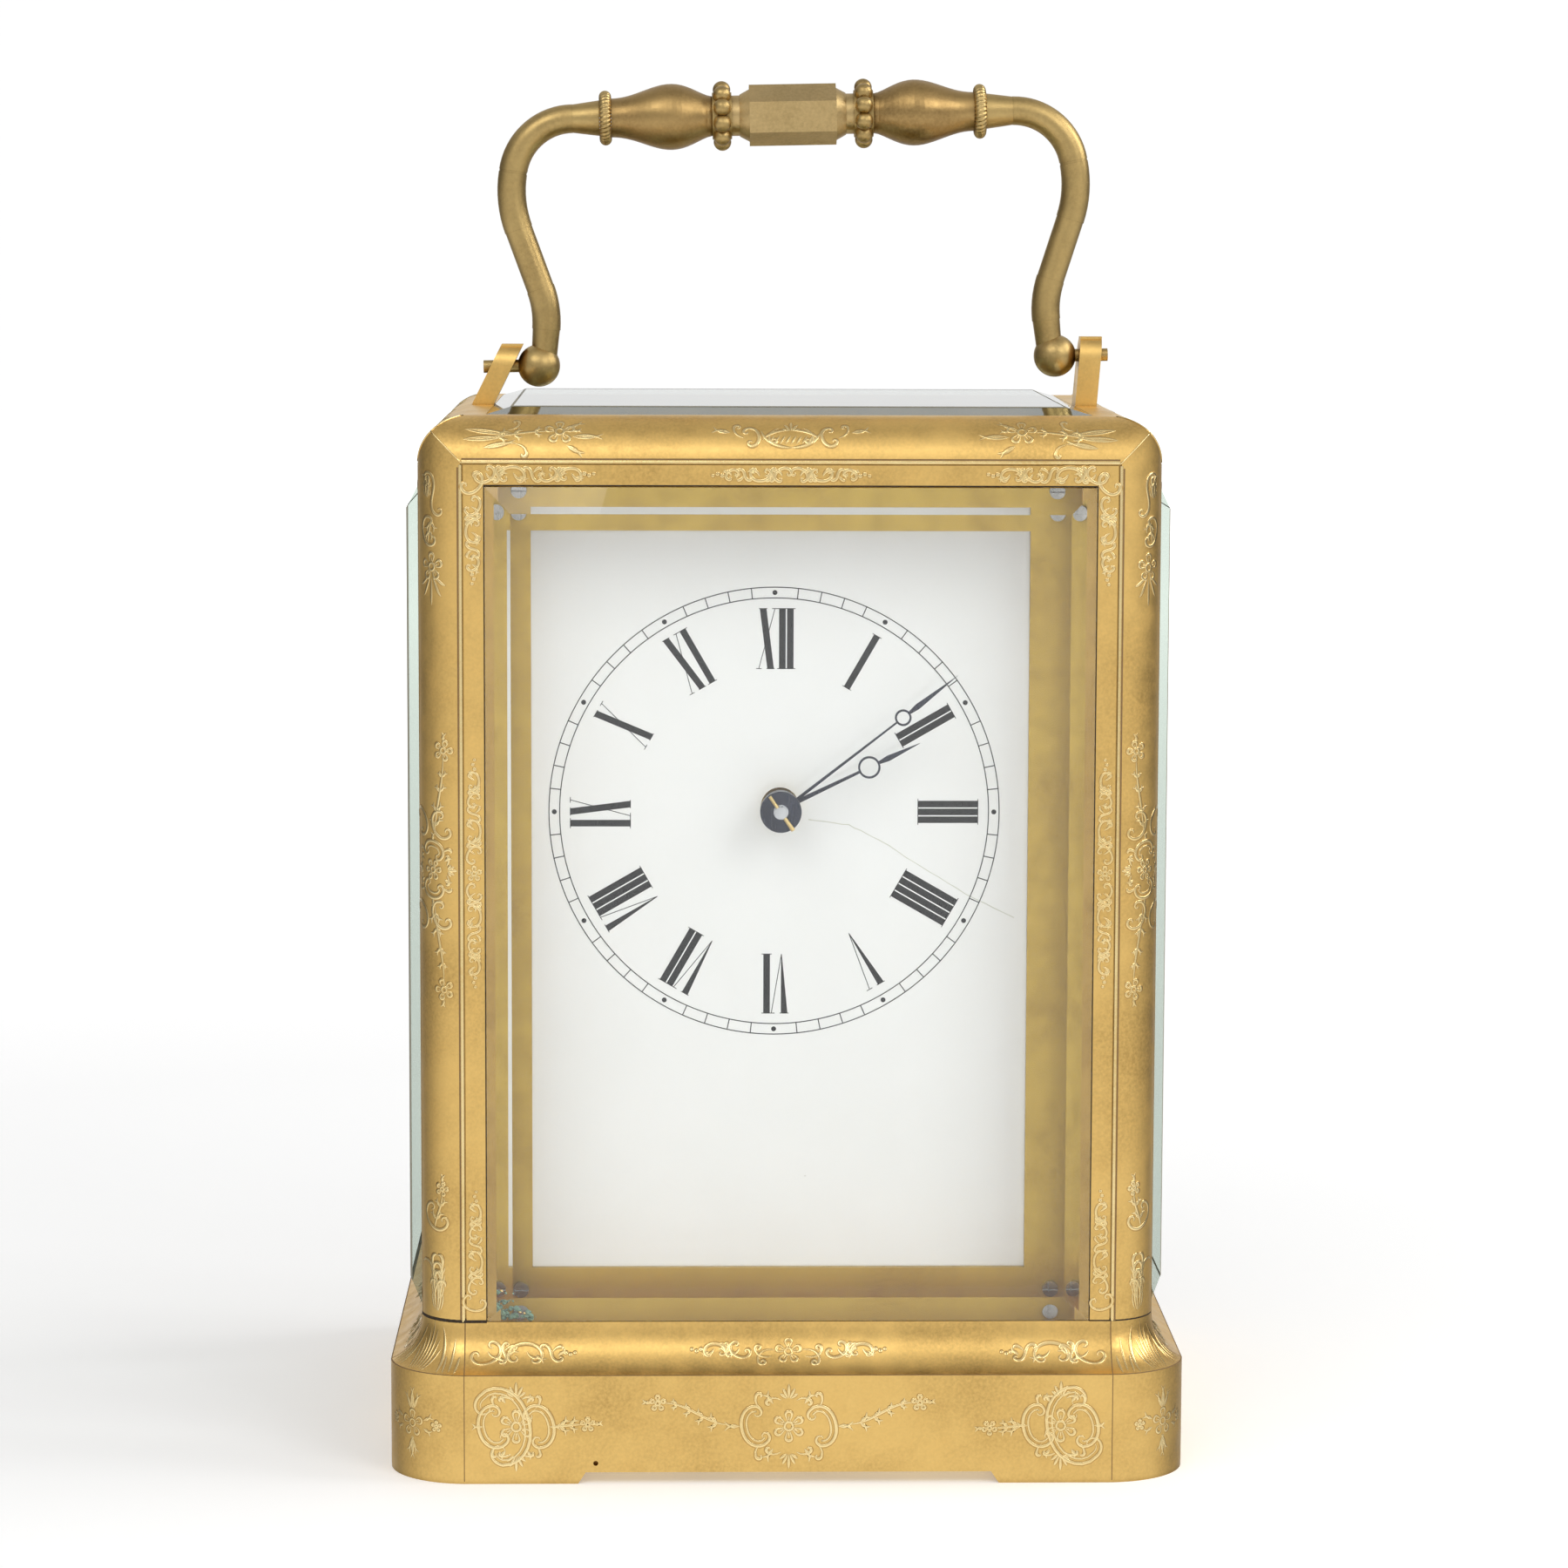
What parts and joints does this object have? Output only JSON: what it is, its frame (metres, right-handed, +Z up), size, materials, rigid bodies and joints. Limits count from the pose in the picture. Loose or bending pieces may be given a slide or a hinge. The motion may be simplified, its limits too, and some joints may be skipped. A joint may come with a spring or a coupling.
{
  "type": "carriage clock",
  "caption": "Gilt brass carriage clock with engraved case, bevelled glasses, tall enamel dial, lever platform movement, rear door and folding handle.",
  "frame": {"origin": "middle of the base, on the surface it stands on", "axes": "+Z up through the handle, +Y from the dial to the rear door, +X to the right of someone facing the dial"},
  "size_m": [0.096, 0.084, 0.1678],
  "materials": {
    "gilt_case": "fire-gilt brass, engraved, satin",
    "gilt_handle": "gilt brass, worn and darker",
    "plain_brass": "polished, fine grain",
    "gilt_platform": "matt gilt",
    "polished_steel": "polished",
    "blued_steel": "blued",
    "white_enamel": "fired enamel, glossy",
    "clear_glass": "polished, bevelled"
  },
  "bodies": {
    "case": {"plinth": "gilt_case", "bottom_plate": "plain_brass", "case_frame": "gilt_case", "front_glass": "clear_glass", "side_glasses": "clear_glass", "top_glass": "clear_glass", "glass_strips": "gilt_case", "dial_mask": "gilt_case", "mask_screws": "polished_steel", "dial": "white_enamel", "front_plate": "plain_brass", "back_plate": "plain_brass", "plate_pillars": "plain_brass", "pillar_screws": "polished_steel", "seat_screws": "polished_steel", "platform": "gilt_platform", "platform_screws": "polished_steel", "balance_cock": "gilt_platform", "regulator": "polished_steel", "lever_bridge": "gilt_platform", "escape_potence": "plain_brass", "click_spring": "polished_steel", "handle_lugs": "gilt_case", "handle_pivots": "gilt_handle"},
    "click": {"click": "polished_steel"},
    "centre": {"centre_arbor": "polished_steel", "centre_wheel": "plain_brass", "cannon_pinion": "polished_steel", "minute_hand": "blued_steel", "taper_pin": "plain_brass"},
    "intermediate": {"intermediate_wheel": "plain_brass", "intermediate_arbor": "polished_steel"},
    "barrel": {"barrel_drum": "plain_brass", "barrel_cover": "plain_brass", "mainspring": "polished_steel"},
    "winding": {"barrel_arbor": "polished_steel", "ratchet_wheel": "polished_steel"},
    "third": {"third_wheel": "plain_brass", "third_arbor": "polished_steel"},
    "contrate": {"contrate_wheel": "plain_brass", "contrate_arbor": "polished_steel"},
    "escape": {"escape_wheel": "polished_steel", "escape_arbor": "polished_steel"},
    "lever": {"pallet_lever": "polished_steel"},
    "balance": {"balance_wheel": "plain_brass", "balance_staff": "polished_steel", "hairspring": "blued_steel"},
    "minute_work": {"minute_wheel": "plain_brass"},
    "hour": {"hour_wheel": "plain_brass", "hour_hand": "blued_steel"},
    "door": {"door_frame": "gilt_case", "door_glass": "clear_glass", "door_pins": "polished_steel", "door_knob": "gilt_case"},
    "handle": {"handle_arms": "gilt_handle", "grip_centre": "gilt_handle", "grip_vases": "gilt_handle", "bead_rings": "gilt_handle", "rope_rings": "gilt_handle"}
  },
  "joints": [
    {"name": "centre_spin", "type": "hinge", "parent": "case", "child": "centre", "pos_m": [-0.0009, 0, 0.0795], "axis": [0, 1, 0], "continuous": true},
    {"name": "intermediate_spin", "type": "hinge", "parent": "case", "child": "intermediate", "pos_m": [-0.0094, 0, 0.06803], "axis": [0, 1, 0], "continuous": true},
    {"name": "barrel_spin", "type": "hinge", "parent": "case", "child": "barrel", "pos_m": [-0.0034, 0, 0.04966], "axis": [0, 1, 0], "continuous": true},
    {"name": "third_spin", "type": "hinge", "parent": "case", "child": "third", "pos_m": [0.00911, 0, 0.08811], "axis": [0, 1, 0], "continuous": true},
    {"name": "contrate_spin", "type": "hinge", "parent": "case", "child": "contrate", "pos_m": [-0.0009, 0, 0.0928], "axis": [0, 1, 0], "continuous": true},
    {"name": "escape_spin", "type": "hinge", "parent": "case", "child": "escape", "pos_m": [-0.0009, -0.004, 0.1], "axis": [0, 0, 1], "continuous": true},
    {"name": "minute_work_spin", "type": "hinge", "parent": "case", "child": "minute_work", "pos_m": [-0.0009, -0.016, 0.0735], "axis": [0, 1, 0], "continuous": true},
    {"name": "hour_spin", "type": "hinge", "parent": "case", "child": "hour", "pos_m": [-0.0009, -0.02, 0.0795], "axis": [0, 1, 0], "continuous": true},
    {"name": "winding_turn", "type": "hinge", "parent": "case", "child": "winding", "pos_m": [-0.0034, 0.01, 0.04966], "axis": [0, 1, 0], "range_deg": [0, 2160]},
    {"name": "click_lift", "type": "hinge", "parent": "case", "child": "click", "pos_m": [0.007, 0.0198, 0.05166], "axis": [0, 1, 0], "range_deg": [0, 12]},
    {"name": "lever_swing", "type": "hinge", "parent": "case", "child": "lever", "pos_m": [-0.0009, 0.0006, 0.107], "axis": [0, 0, 1], "range_deg": [-4, 4]},
    {"name": "balance_swing", "type": "hinge", "parent": "case", "child": "balance", "pos_m": [-0.0009, 0.008, 0.11], "axis": [0, 0, 1], "range_deg": [-135, 135]},
    {"name": "door_swing", "type": "hinge", "parent": "case", "child": "door", "pos_m": [0.0342, 0.0364, 0.069], "axis": [0, 0, -1], "range_deg": [0, 95]},
    {"name": "handle_swing", "type": "hinge", "parent": "case", "child": "handle", "pos_m": [0.0016, 0, 0.1328], "axis": [0.9998, 0, 0.0216], "range_deg": [-90, 90]}
  ],
  "couplings": [
    {"joint": "intermediate_spin", "follows": "centre_spin", "ratio": -0.16667},
    {"joint": "barrel_spin", "follows": "centre_spin", "ratio": 0.025},
    {"joint": "third_spin", "follows": "centre_spin", "ratio": -10},
    {"joint": "contrate_spin", "follows": "centre_spin", "ratio": 75},
    {"joint": "escape_spin", "follows": "centre_spin", "ratio": -600},
    {"joint": "minute_work_spin", "follows": "centre_spin", "ratio": -0.33333},
    {"joint": "hour_spin", "follows": "centre_spin", "ratio": 0.083333}
  ]
}
